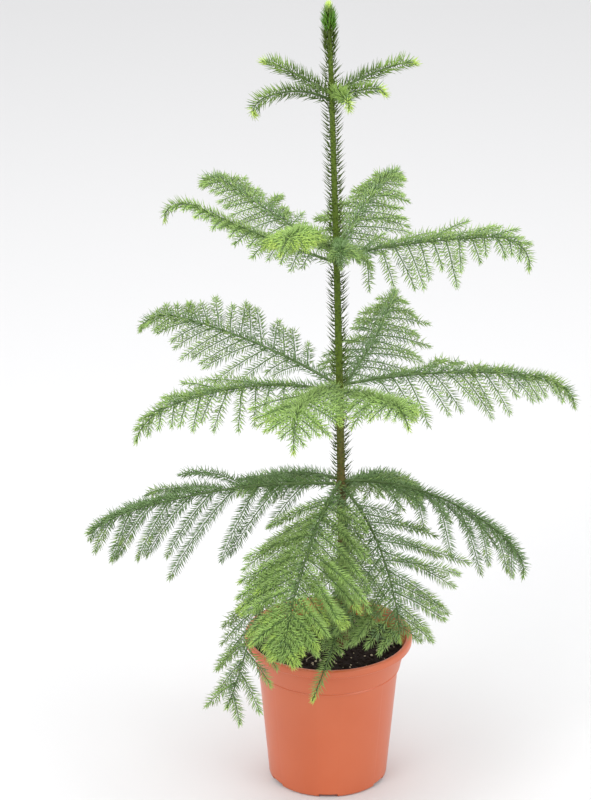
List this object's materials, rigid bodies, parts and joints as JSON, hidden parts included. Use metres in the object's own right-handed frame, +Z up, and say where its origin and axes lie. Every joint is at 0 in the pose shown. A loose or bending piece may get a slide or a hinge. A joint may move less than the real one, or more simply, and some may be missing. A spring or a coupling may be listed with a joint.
{
  "type": "potted conifer",
  "caption": "Young Norfolk Island pine in a round terracotta-coloured plastic pot: a slender upright trunk with whorls of spreading, drooping, soft-needled fronds.",
  "frame": {"origin": "middle of the pot's flat underside, on the surface it stands on", "axes": "+Z up along the trunk, -Y towards the viewer of the picture, +X to the viewer's right"},
  "size_m": [0.6006, 0.5873, 1.0109],
  "materials": {
    "pot_plastic": "satin",
    "peat": "matte",
    "bark": "matte",
    "needles": "matte",
    "young_needles": "matte"
  },
  "bodies": {
    "root": {"pot": "pot_plastic", "soil": "peat", "trunk": "bark", "lowest_bough_1": "bark", "lowest_foliage_1": "needles", "lower_bough_1": "bark", "lower_foliage_1": "needles", "lower_bough_2": "bark", "lower_foliage_2": "needles", "lower_bough_3": "bark", "lower_foliage_3": "needles", "lower_bough_4": "bark", "lower_foliage_4": "needles", "lower_bough_5": "bark", "lower_foliage_5": "needles", "lower_bough_6": "bark", "lower_foliage_6": "needles", "lower_bough_7": "bark", "lower_foliage_7": "needles", "middle_bough_1": "bark", "middle_foliage_1": "needles", "middle_bough_2": "bark", "middle_foliage_2": "needles", "middle_bough_3": "bark", "middle_foliage_3": "needles", "middle_bough_4": "bark", "middle_foliage_4": "needles", "middle_bough_5": "bark", "middle_foliage_5": "needles", "middle_bough_6": "bark", "middle_foliage_6": "needles", "upper_bough_1": "bark", "upper_foliage_1": "needles", "upper_bough_2": "bark", "upper_foliage_2": "needles", "upper_bough_3": "bark", "upper_foliage_3": "needles", "upper_bough_4": "bark", "upper_foliage_4": "needles", "upper_bough_5": "bark", "upper_foliage_5": "needles", "upper_bough_6": "bark", "upper_foliage_6": "needles", "top_shoot_1": "young_needles", "top_shoot_2": "young_needles", "top_shoot_3": "young_needles", "top_shoot_4": "young_needles", "top_shoot_5": "young_needles", "leader_tuft": "young_needles"}
  },
  "joints": []
}
